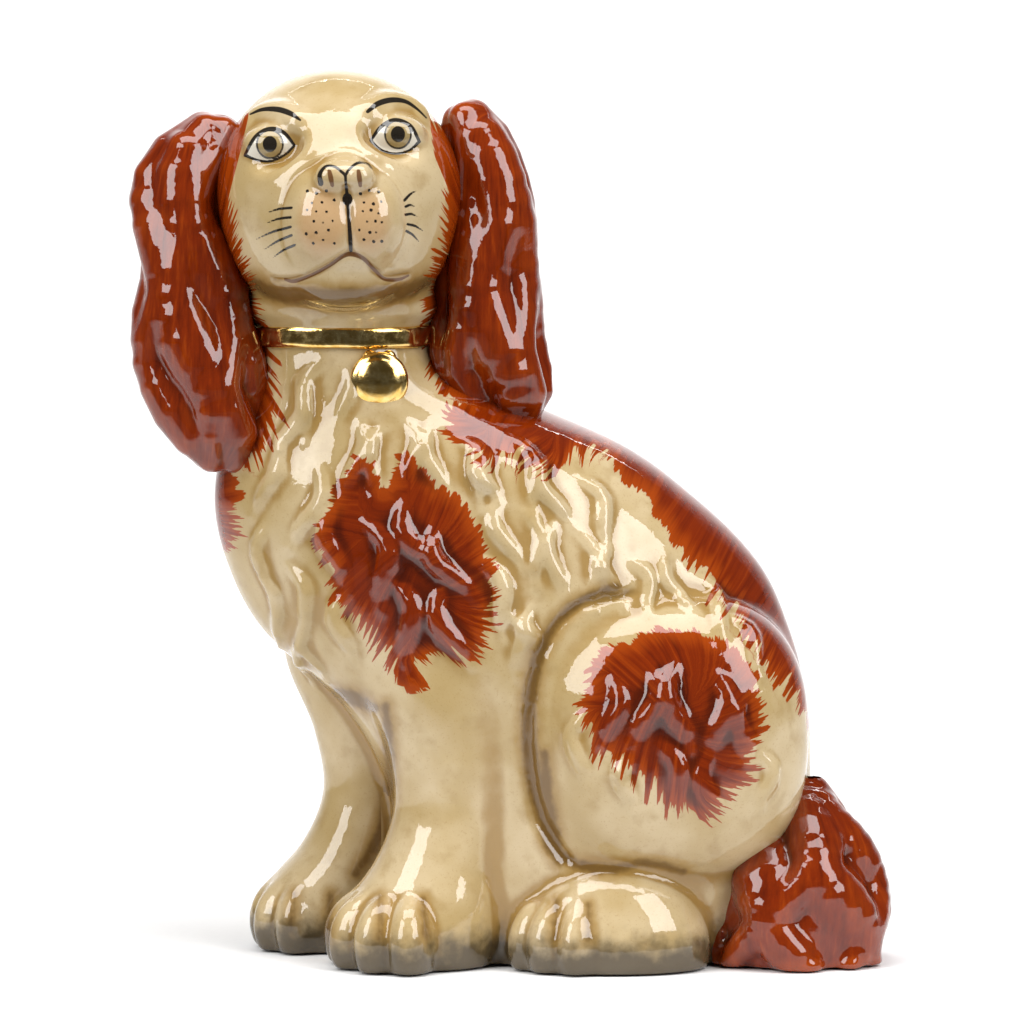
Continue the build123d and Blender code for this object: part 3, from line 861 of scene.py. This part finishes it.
def cream_glaze():
    shader = Shader("cream_glaze")
    where = shader.place()
    crease, hollow = shader.mark("crease"), shader.mark("hollow")
    # the cream ground, mottled, with iron specks
    cloud = shader.noise(where, 0.035, 3.0)
    ground = shader.mix(shader.step(cloud, 0.35, 0.65), CREAM, CREAM_PALE)
    ground = shader.mix(shader.step(shader.noise(where, 0.11, 3.0), 0.52, 0.75, 0.0, 0.5), ground, CREAM_BUFF)
    specks = shader.step(shader.noise(where, 1.3, 2.0, 0.7), 0.56, 0.72, 0.0, 0.28)
    ground = shader.mix(specks, ground, STAIN_AND_SHADE)
    # painted shade: brown in the creases and hollows, near-black in the deepest hollows
    crease_shade = shader.math("ADD", crease, shader.math("MULTIPLY", shader.noise(where, 0.25, 2.0), 0.3))
    ground = shader.mix(shader.step(crease_shade, 0.16, 0.85, 0.0, 0.85), ground, STAIN_AND_SHADE)
    ground = shader.mix(shader.step(hollow, 0.54, 0.76, 0.0, 0.85), ground, STAIN_AND_SHADE)
    ground = shader.mix(shader.step(hollow, 0.68, 0.88, 0.0, 0.9), ground, SHADE_DEEP)
    # painted shade along the drawn crease lines and under the chin
    shade_distance = shader.math("ADD", shader.mark("painted_shade"),
                         shader.math("MULTIPLY", shader.noise(where, 0.3, 2.0), 2.0))
    ground = shader.mix(shader.step(shade_distance, 6.0, 1.6, 0.0, 0.75), ground, STAIN_AND_SHADE)
    ground = shader.mix(shader.step(shade_distance, 2.8, 0.4, 0.0, 0.75), ground, SHADE_BROWN)
    # painted shade, grey, darkening the foot towards the floor
    height = shader.node("SeparateXYZ", {0: where}, "Z")
    foot_shade_height = shader.math("ADD", height, shader.math("MULTIPLY", shader.noise(where, 0.16, 3.0), 14.0))
    ground = shader.mix(shader.step(foot_shade_height, 24.0, 11.5, 0.0, 0.93), ground, SHADE_DEEP)
    # pink muzzle pads
    ground = shader.mix(shader.step(shader.mark("pink"), 1.0, 0.3, 0.0, 0.6), ground, PINK)
    # red-brown patches whose edges end in brush flicks
    flick, far = shader.mark("flick", "Vector"), shader.mark("far")
    fine = shader.noise(flick, 0.50, 2.0, 0.6)
    broad = shader.noise(flick, 0.13, 1.0)
    length = shader.mark("flick_length")
    reach = shader.math("ADD", shader.step(fine, 0.36, 0.66, -0.25, 0.85),
                        shader.step(broad, 0.2, 0.8, -0.35, 0.45))
    tips = shader.math("MULTIPLY", length, reach)
    within = shader.math("SUBTRACT", tips, far)
    painted = shader.step(within, -0.15, 0.35)
    streak_axes = shader.node("VectorMath", {0: flick, 3: 0.55}, operation="SCALE")
    edge_orange = shader.step(within, 7.0, 0.5, 0.0, 0.75)
    enamel = russet_colour(shader, streak_axes, crease, edge_orange)
    ground = shader.mix(painted, ground, enamel)
    # the painter's fine work
    ground = shader.mix(shader.step(shader.mark("sclera"), 0.1, -0.2, 0.0, 0.85), ground, EYE_WHITE)
    ground = shader.mix(shader.step(shader.mark("iris"), 0.12, -0.12), ground, OCHRE)
    ground = shader.mix(shader.step(shader.mark("sepia"), 0.12, -0.12, 0.0, 0.9), ground, SEPIA)
    ground = shader.mix(shader.step(shader.mark("ink"), 0.14, -0.1, 0.0, 0.97), ground, INK)
    shader.set(Base_Color=ground)
    glaze_gloss(shader, where)
    return shader.material


def russet_glaze():
    shader = Shader("russet_glaze")
    where = shader.place()
    along = shader.mark("flick", "Vector")
    ridge = shader.step(shader.mark("hollow"), 0.46, 0.30, 0.0, 0.55)
    # the hollows darken the red-brown as painted shade
    colour = russet_colour(shader, along, shader.step(shader.mark("hollow"), 0.50, 0.72), ridge)
    cloud = shader.noise(where, 0.05, 2.0)
    colour = shader.mix(shader.step(cloud, 0.5, 0.72, 0.0, 0.35), colour, RUSSET_BRIGHT)
    shader.set(Base_Color=colour)
    glaze_gloss(shader, where)
    return shader.material


def gilding():
    shader = Shader("gilding")
    where = shader.place()
    rub = shader.noise(where, 0.35, 4.0, 0.6)
    colour = shader.mix(shader.step(rub, 0.35, 0.7), GOLD, GOLD_BRIGHT)
    # gold darkened at random where rubbed, which is wear, and in the creases, which is painted shade
    wear_and_shade = shader.step(shader.math("ADD", rub, shader.mark("crease")), 0.75, 1.0, 0.0, 0.8)
    colour = shader.mix(wear_and_shade, colour, GOLD_WORN_AND_SHADED)
    shader.set(Base_Color=colour, Metallic=1.0, Roughness=shader.step(rub, 0.3, 0.7, 0.10, 0.22),
               Normal=shader.bump(shader.noise(where, 0.3, 2.0), 0.12, 0.0003))
    return shader.material


def bare_clay():
    shader = Shader("bare_clay")
    where = shader.place()
    grain = shader.noise(where, 1.6, 5.0, 0.7)
    colour = shader.mix(shader.step(grain, 0.3, 0.7), BARE, BARE_PALE)
    colour = shader.mix(shader.step(shader.noise(where, 0.07, 3.0), 0.5, 0.7, 0.0, 0.5), colour, STAIN_AND_SHADE)
    shader.set(Base_Color=colour, Roughness=0.85, Normal=shader.bump(grain, 0.6, 0.0003))
    return shader.material


MATERIALS = {make.__name__: make() for make in (cream_glaze, russet_glaze, gilding, bare_clay)}


# ---- the pieces, from clay to painted pressings --------------------------------------------------------
def finished_skin(clay, rounds):
    """Points, quads, normals and the relief marks of a field's surface."""
    points, quads = skin(clay)
    links = neighbours(quads)
    points = relax(points, links, rounds)
    normals, _ = vertex_normals(points, quads)
    smoother = points
    for _ in range(int(round(30 * (1.2 / clay.step)))):
        smoother = smoother + 0.5 * (average_round(smoother, links, len(points)) - smoother)
    crease = np.clip(((smoother - points) * normals).sum(1) / 0.55, -1, 1)
    hollow = shelter(clay, points, 5.0)
    return points, quads, normals, {"crease": crease, "hollow": hollow}


def unpainted(marks, count):
    """Empty marks for the fine work and the painted shade lines that a skin does not carry."""
    for mark in ("ink", "sepia", "iris", "sclera", "pink", "painted_shade"):
        marks.setdefault(mark, np.full(count, NOWHERE))


right_ear_rows = from_trunk([
    (171, -98.5, -12, 9, 8), (176, -99.5, -12, 15, 14), (183, -101.5, -12, 19.5, 17.5),
    (191, -104, -12, 21.5, 19), (204, -107, -11, 22.5, 19.5), (218, -109, -10, 21, 19),
    (232, -109.5, -9, 18.5, 18.5), (246, -112, -8, 17, 18), (260, -114, -7, 17, 17.5),
    (272, -111.5, -5, 15.5, 15.5), (281, -106, -3, 11.5, 12), (286, -101, -2, 7, 7)])
left_ear_rows = from_trunk([
    (185.5, -1.5, -9, 8, 7), (189, -3, -9, 14, 13), (195, -4.5, -9, 18, 17), (204, -7, -9, 20.5, 18.5),
    (214, -8.5, -8.5, 20, 18.5), (226, -9, -7.5, 18.5, 18.5), (242, -8, -6, 15.5, 18),
    (256, -7, -5, 14.5, 17.5), (270, -8.5, -4, 13, 15.5), (281, -12, -3, 11, 12), (290, -16.5, -2, 7, 7)])
tail_rows = from_trunk([
    (0, 97, -20, 32, 33), (9, 97, -20, 33.2, 34.5), (22, 96.5, -20, 32.5, 33.5), (34, 98, -20, 27, 29),
    (43, 99.5, -19, 20, 22), (52, 101.5, -16, 10.5, 12), (57, 102.5, -14, 4.5, 5)])
ROOT_HALF = np.array([13, 14, 23]) * unit
right_root = ellipsoid(spot(-99.5, 6, 264), ROOT_HALF)
left_root = ellipsoid(spot(-20, 6, 264), ROOT_HALF)


def russet_piece(name, rows, locks, root, **shape):
    clay = bundle(rows, locks, root, **shape)
    if not root:
        clay.keep_above(0, 1.5)
    points, quads, normals, marks = finished_skin(clay, 3)
    middle = np.array(rows)[:, 1:3].mean(0)
    around = np.arctan2(points[:, 1] - middle[1], points[:, 0] - middle[0])
    marks["flick"] = np.stack([np.cos(around) * 9, np.sin(around) * 9, points[:, 2] * 0.06], 1)
    piece = make_mesh(name, points, quads, normals, marks, "russet_glaze")
    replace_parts(piece, name)


EAR_LOCKS = [(170, 0.0, 1.0), (215, 0.4, 1.05), (262, 0.8, 1.1), (308, 0.25, 1.0), (350, 0.65, 0.9),
             (40, 0.3, 1.0), (90, 0.7, 1.1), (132, 0.1, 1.0)]
MIRRORED_LOCKS = [(180 - angle, phase, thick) for angle, phase, thick in EAR_LOCKS]
TAIL_LOCKS = [(190, 0.0, 1.0), (232, 0.4, 1.1), (268, 0.8, 1.0), (305, 0.2, 1.1), (342, 0.6, 1.0),
              (20, 0.0, 1.0), (65, 0.5, 1.0), (110, 0.9, 1.1), (152, 0.3, 1.0)]
EAR_SHAPE = {"sway": 17, "wave": 62, "width": 9.2, "sink": 0.90, "step": 0.8, "shrink": 4.5, "melt": 1.8}
TAIL_SHAPE = {"sway": 16, "wave": 44, "width": 9.0, "sink": 0.90, "step": 0.8, "shrink": 4.5, "melt": 1.8}
russet_piece("right_ear", right_ear_rows, EAR_LOCKS, right_root, **EAR_SHAPE)
russet_piece("left_ear", left_ear_rows, MIRRORED_LOCKS, left_root, **EAR_SHAPE)
russet_piece("tail", tail_rows, TAIL_LOCKS, None, **TAIL_SHAPE)


def gilt_piece(name, masses, blend):
    """A gilded casting made of masses, which blend where they meet."""
    low = np.min([m[0] for m in masses], 0) - 2
    high = np.max([m[1] for m in masses], 0) + 2
    clay = Field(low, high, GILT_STEP)
    for gilt_mass in masses:
        clay.add(gilt_mass, blend)
    points, quads, normals, marks = finished_skin(clay, 2)
    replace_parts(make_mesh(name, points, quads, normals, marks, "gilding"), name)


def locket():
    """A domed disc with a rounded rim."""
    low, high = (np.array(corner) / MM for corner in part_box("locket"))
    radius = (high[0] - low[0]) / 2
    centre = np.array([(low[0] + high[0]) / 2, high[1] - 1.0, low[2] + radius])
    depth = centre[1] - low[1]
    rim_radius = radius - 1.3
    rim = [(centre[0] + rim_radius * math.cos(a), centre[1] - 0.9, centre[2] + rim_radius * math.sin(a), 1.25)
           for a in np.linspace(0, 2 * math.pi, 33)]
    gilt_piece("locket", [fuller(centre, (radius - 0.6, depth, radius - 0.6), 2.2), strand(rim)], 1.0)


def locket_shackle():
    """Two lobes side by side between the collar and the locket."""
    low, high = (np.array(corner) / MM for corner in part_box("locket_shackle"))
    x, y, z = (low + high) / 2
    lobes = [ellipsoid((x + side * 3.2 * unit, y, z), (2.7, 2.0, 2.8)) for side in (-1, 1)]
    gilt_piece("locket_shackle", lobes, 0.8)


gilt_piece("collar", [hoop(COLLAR_LOW, COLLAR_HIGH, 4.5 * unit, 0.22)], 0)
locket()
locket_shackle()

OWNERS = {"trunk": column(BODY), "left_haunch": fuller(*NEAR_HAUNCH), "right_haunch": fuller(*FAR_HAUNCH),
          "left_foreleg": column(NEAR_FORELEG), "right_foreleg": column(FAR_FORELEG),
          "left_hind_paw": ellipsoid(*NEAR_HIND_PAW), "right_hind_paw": ellipsoid(*FAR_HIND_PAW)}
VENT_RADIUS = 7


def nearest_mass(masses, at):
    """The number of the mass that each place lies in or closest to."""
    x, y, z = at.T
    return np.argmin([mass[2](x, y, z) for mass in masses], 0)


def paint_trunk(points, marks):
    """Marks for the patches, the stripe, the flicks under the ears and the painted shade in the creases."""
    flat = drawn(points)
    paint = Paint(len(points))
    near, far_side = points[:, 1] < SEAM_Y, points[:, 1] >= SEAM_Y
    everywhere = np.ones(len(points), bool)
    paint.patch(flat, CHEST_PATCH, 0.35, 7.0, 1, near)
    paint.patch(flat, HAUNCH_PATCH, 0.5, 6.5, 2, everywhere)
    paint.patch(flat, SPINE_STRIPE, -0.4, 6.0, 3, everywhere)
    paint.patch(flat, CHEST_EDGE, 0.2, 7.0, 4, everywhere)
    paint.patch(flat, FAR_SHOULDER_PATCH, 0.35, 7.0, 5, far_side)
    paint.patch(flat, EAR_FOOT_PATCH, -0.6, 8.0, 10, near)
    paint.edge(flat, right_ear_rows, 5.0, 6, everywhere)
    paint.edge(flat, left_ear_rows, 5.0, 7, everywhere)
    marks.update(far=paint.far, flick=paint.flick, flick_length=paint.length)
    # painted shade along the creases of the haunches, legs and toes
    shade_lines = [brushed(flat, everywhere, line, widths) for line, widths in HAUNCH_SHADE_LINES]
    shade_lines += [brushed(flat, near, line, widths) for line, widths in NEAR_SHADE_LINES]
    marks["painted_shade"] = np.min(shade_lines, 0)
    unpainted(marks, len(points))


def build_trunk():
    """One skin cut into the body, haunches, legs and paws, and the slab under them with its vent."""
    points, quads, normals, marks = finished_skin(sculpt_trunk(), 3)
    paint_trunk(points, marks)
    centres = points[quads].mean(1)
    facing = normals[quads].mean(1)
    owner = nearest_mass(list(OWNERS.values()), centres)
    under = (centres[:, 2] < 0.8) & (facing[:, 2] < -0.8)
    slab_x, slab_y, slab_rx, slab_ry = np.array(BODY)[0, 1:]
    across = (centres[:, 0] - slab_x) / (slab_rx - WALL)
    back = (centres[:, 1] - slab_y) / (slab_ry - WALL)
    slab = under & (np.hypot(across, back) < 1)
    vent = slab & (np.hypot(centres[:, 0] - spot(30, 0, 0)[0], centres[:, 1] - SEAM_Y) < VENT_RADIUS)
    chosen = {name: (owner == number) & ~slab for number, name in enumerate(OWNERS)}
    on_trunk = chosen.pop("trunk")
    chosen["body_front"] = on_trunk & (centres[:, 1] < SEAM_Y)
    chosen["body_back"] = on_trunk & (centres[:, 1] >= SEAM_Y)
    for name, share in chosen.items():
        pressing(name, points, quads, normals, marks, share, "cream_glaze")
    pressing("base_slab", points, quads, normals, marks, slab & ~vent, "bare_clay")


build_trunk()

# ---- the face, in millimetres across and up from the head's middle as the viewer sees it ----------------
EYES = {  # iris middle, outline from the inner corner over the top and back along the bottom
    "right": ((-21.7, 22.1), [(-13.4, 21.7), (-17, 26), (-21.7, 27.4), (-26.5, 24.8), (-30.4, 18.6)],
              [(-30.4, 18.6), (-26, 16.8), (-21.3, 16.4), (-16.6, 18.6), (-13.4, 21.7)]),
    "left": ((21.6, 25.5), [(12.3, 23.4), (15.8, 28), (20.5, 30.4), (25.8, 28.4), (28.8, 23.2)],
             [(28.8, 23.2), (25.5, 20.2), (20.8, 19), (16, 20.2), (12.3, 23.4)])}
BROWS = [([(-28.9, 33.0), (-24.7, 34.4), (-19.4, 34.2), (-14.9, 32.6), (-11.4, 30.2)],
          [0.6, 1.3, 1.9, 1.8, 0.7]),
         ([(11.3, 33.2), (14.8, 36.1), (19.3, 37.6), (23.9, 37.3), (27.7, 35.0), (31.1, 31.8)],
          [1.2, 1.9, 1.9, 1.4, 0.9, 0.5])]
NOSE = [([(-4.0, 8.0), (-4.3, 11), (-2.3, 13.6), (0.7, 13.5), (3.2, 11.6), (4.3, 10.6)],
         [1.9, 1.4, 1.0, 0.9, 1.0, 1.0]),
        ([(4.3, 10.6), (5.6, 12.6), (8.3, 14.8), (11.3, 14.9), (13, 13.2)], [1.0, 0.9, 1.0, 0.9, 0.5]),
        ([(4.3, 10.6), (4.6, 6), (4.9, 2.7)], [0.9, 1.0, 1.1]),
        ([(4.9, 2.7), (5.4, -4), (5.8, -10), (6.0, -14.4)], [1.1, 1.2, 1.4, 1.2])]
MOUTH = [(-16.6, -23.6), (-13.3, -24.3), (-7.3, -22.4), (-1.2, -19.3), (3.4, -16.3), (6.4, -15.6),
         (10.2, -17.1), (14, -20.9), (17, -23.6), (21.6, -23.7), (25.2, -22.2)]
WHISKERS = [((-14, 0), (-22.5, -1.3)), ((-14.3, -3.2), (-22.5, -4.7)), ((-14.3, -6.4), (-26.3, -10)),
            ((-14, -9.2), (-23.6, -13.6)), ((-13, -12.5), (-20.5, -16.3)), ((23.9, 2.7), (27.8, 6.2)),
            ((24.3, 0.6), (27.2, 0.9)), ((24.3, -2.1), (28.2, -2.5)), ((25, -5.3), (30, -7.2)),
            ((24.6, -7.6), (28.6, -10.8))]


def face_marks(points, flat):
    """Ink, sepia, eyes, pads and the shadow under the chin, as distances outside each brush line."""
    on_face = flat - FACE
    seen = points[:, 1] < head[1]

    def stroke(line, widths, smooth=8):
        return brushed(on_face, seen, line, widths, smooth)

    def disc(x, z, rx, rz=None):
        rz = rz or rx
        reached = np.hypot((on_face[:, 0] - x) / rx, (on_face[:, 1] - z) / rz)
        return np.where(seen, (reached - 1) * min(rx, rz), NOWHERE)

    ink, iris, sclera = (np.full(len(points), NOWHERE) for _ in range(3))
    for (ex, ez), top, bottom in EYES.values():
        ink = np.minimum(ink, stroke(top, [0.9, 1.3, 1.5, 1.3, 1.0]))
        ink = np.minimum(ink, stroke(bottom, [1.0, 0.8, 0.8, 0.8, 0.9]))
        ink = np.minimum(ink, disc(ex, ez, 2.4, 2.7))
        ink = np.minimum(ink, np.abs(disc(ex, ez, 4.4, 4.7)) - 0.3)
        lids = np.array(top + bottom[1:-1])
        white = np.where(inside(on_face, closed_curve(lids, 40)) & seen, -1.0, NOWHERE)
        sclera = np.minimum(sclera, white)
        iris = np.minimum(iris, np.maximum(disc(ex, ez, 4.4, 4.7), white))
    for line, widths in BROWS + NOSE:
        ink = np.minimum(ink, stroke(line, widths))
    ink = np.minimum(ink, disc(4.9, 2.7, 1.7, 2.1))
    for start, end in WHISKERS:
        middle = ((start[0] + end[0]) / 2, (start[1] + end[1]) / 2 + 0.5)
        ink = np.minimum(ink, stroke([start, middle, end], [0.9, 0.8, 0.3], 4))
    # dots in staggered rows on the muzzle pads
    dice = np.random.default_rng(7)
    for left, right in ((-9.5, 1.5), (9.0, 17.5)):
        for row in range(6):
            for column_number in range(3):
                share = column_number + 0.5 * (row % 2) + 0.2
                x = left + (right - left) * share / 3 + dice.uniform(-0.7, 0.7)
                z = 5.0 - 3.3 * row + dice.uniform(-0.7, 0.7)
                ink = np.minimum(ink, disc(x, z, dice.uniform(0.42, 0.62)))
    sepia = stroke(MOUTH, [0.9, 1.3, 1.2, 1.2, 1.4, 1.7, 1.4, 1.2, 1.3, 1.2, 0.6])
    for x, z, lean in ((-0.6, 9.8, 0.5), (9.0, 9.8, 0.3)):
        nostril = [(x - lean, z + 2.2), (x, z), (x + lean, z - 2.6)]
        sepia = np.minimum(sepia, stroke(nostril, [1.3, 1.7, 1.2], 4))
    pads = np.minimum(disc(-3.6, -5.0, 10, 13.5), disc(12.2, -5.0, 8.5, 13))
    # painted shadow in a band under the chin
    chin_shadow = stroke([(-28, -24), (-18, -28.5), (3, -30), (22, -28), (32, -23)], [2.0, 4.0, 5.0, 4.0, 2.0])
    return {"ink": ink, "iris": iris, "sclera": sclera, "sepia": sepia, "pink": pads / 8 + 0.9,
            "painted_shade": chin_shadow}


def build_head():
    """One skin with the painted face, cut into the front and back pressings."""
    points, quads, normals, marks = finished_skin(sculpt_head(), 3)
    flat = drawn(points)
    paint = Paint(len(points))
    everywhere = np.ones(len(points), bool)
    paint.edge(flat, right_ear_rows, 4.0, 8, everywhere)
    paint.edge(flat, left_ear_rows, 4.0, 9, everywhere)
    marks.update(far=paint.far, flick=paint.flick, flick_length=paint.length)
    marks.update(face_marks(points, flat))
    centres = points[quads].mean(1)
    for name, chosen in (("head_front", centres[:, 1] < SEAM_Y), ("head_back", centres[:, 1] >= SEAM_Y)):
        pressing(name, points, quads, normals, marks, chosen, "cream_glaze")


build_head()

# ---- stage, lights and camera ------------------------------------------------------------------------
ctr = (cad_low + cad_high) / 2


def studio_floor():
    """A pale sheet that curves up into the wall behind, painted dark in front of the figure as painted shade.
    """
    width, front, back, rise = 3.0, 2.5, 1.6, 2.6
    profile = [(-front, 0.0), (back, 0.0)]
    curve = np.linspace(0, math.pi / 2, 12)[1:]
    profile += [(back + 0.5 * math.sin(a), 0.5 - 0.5 * math.cos(a)) for a in curve]
    profile.append((back + 0.5, rise))
    verts = [(x, y, z - 0.0005) for y, z in profile for x in (-width, width)]
    faces = [(2 * i, 2 * i + 1, 2 * i + 3, 2 * i + 2) for i in range(len(profile) - 1)]
    mesh = bpy.data.meshes.new("studio_floor")
    mesh.from_pydata(verts, [], faces)
    floor = bpy.data.objects.new("studio_floor", mesh)
    bpy.context.scene.collection.objects.link(floor)
    shader = Shader("studio_paper")
    grain = shader.noise(shader.place(), 0.4, 3.0)
    depth = shader.node("SeparateXYZ", {0: shader.place()}, "Y")
    paper = shader.mix(grain, PAPER, PAPER_PALE)
    # painted shade: the paper turns dark in front of the figure
    paper = shader.mix(shader.step(depth, -190.0, -430.0), paper, PAPER_SHADE)
    shader.set(Base_Color=paper, Roughness=0.9)
    mesh.materials.append(shader.material)
    for polygon in mesh.polygons:
        polygon.use_smooth = True


def softbox(name, place, size, watts, aim):
    light = bpy.data.lights.new(name, "AREA")
    light.shape, light.size, light.size_y, light.energy = "RECTANGLE", size[0], size[1], watts
    lamp = bpy.data.objects.new(name, light)
    lamp.location = place
    lamp.rotation_euler = (aim - lamp.location).to_track_quat("-Z", "Y").to_euler()
    bpy.context.scene.collection.objects.link(lamp)


def camera(distance, elevation, width_seen):
    data = bpy.data.cameras.new("camera")
    data.sensor_width = 36.0
    data.lens = data.sensor_width * distance / width_seen
    data.clip_end = 50
    view = bpy.data.objects.new("camera", data)
    tilt = math.radians(elevation)
    view.location = (ctr.x, ctr.y - distance * math.cos(tilt), ctr.z + distance * math.sin(tilt))
    view.rotation_euler = (ctr - view.location).to_track_quat("-Z", "Y").to_euler()
    bpy.context.scene.collection.objects.link(view)
    bpy.context.scene.camera = view


studio_floor()
softbox("left_softbox", (-1.15, -0.95, 1.0), (0.85, 1.25), 21, ctr)
softbox("right_softbox", (1.15, -0.95, 1.05), (0.85, 1.35), 23, ctr)
softbox("top_softbox", (0.0, -0.3, 1.65), (1.7, 0.8), 24, ctr)
softbox("backdrop_light", (0.0, 1.1, 1.5), (2.2, 0.4), 26, Vector((0, 2.0, 0.6)))
world = bpy.data.worlds.new("studio")
world.use_nodes = True
world.node_tree.nodes["Background"].inputs[0].default_value = (0.9, 0.93, 1.0, 1)
world.node_tree.nodes["Background"].inputs[1].default_value = 0.07
bpy.context.scene.world = world
bpy.context.scene.view_settings.view_transform = "Standard"
camera(2.4, 4.5, 0.353)
